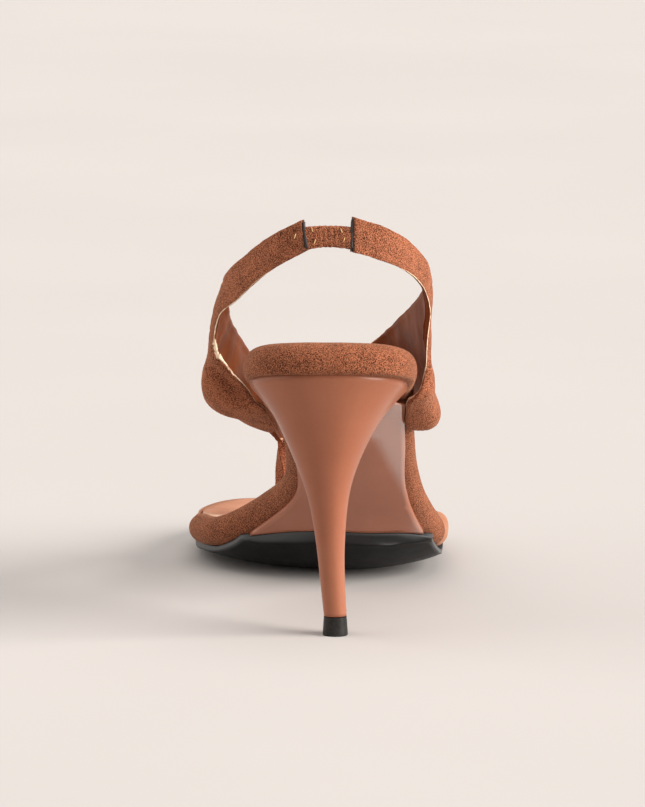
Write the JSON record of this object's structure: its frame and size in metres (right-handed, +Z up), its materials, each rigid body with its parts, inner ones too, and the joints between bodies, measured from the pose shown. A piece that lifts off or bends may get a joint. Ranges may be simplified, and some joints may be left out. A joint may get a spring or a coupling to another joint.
{
  "type": "stiletto sandal",
  "caption": "Slingback stiletto sandal for the right foot, with suede straps, a padded footbed, a tall slim lacquered heel and a thin rubber sole",
  "frame": {"origin": "on the floor, under the middle of the shoe's box", "axes": "+Y towards the toe, +X towards the outer side of the right foot, +Z up"},
  "size_m": [0.088, 0.2148, 0.133],
  "materials": {
    "black_rubber": "satin black rubber",
    "caramel_lacquer": "smooth caramel lacquer",
    "brown_suede": "short napped caramel suede",
    "tan_lining": "smooth tan lining"
  },
  "bodies": {
    "root": {"top_lift": "black_rubber", "heel": "caramel_lacquer", "waist_sole": "caramel_lacquer", "forefoot_sole": "black_rubber", "footbed": "brown_suede", "insole": "tan_lining", "upper": "brown_suede", "back_elastic": "brown_suede"}
  },
  "joints": []
}
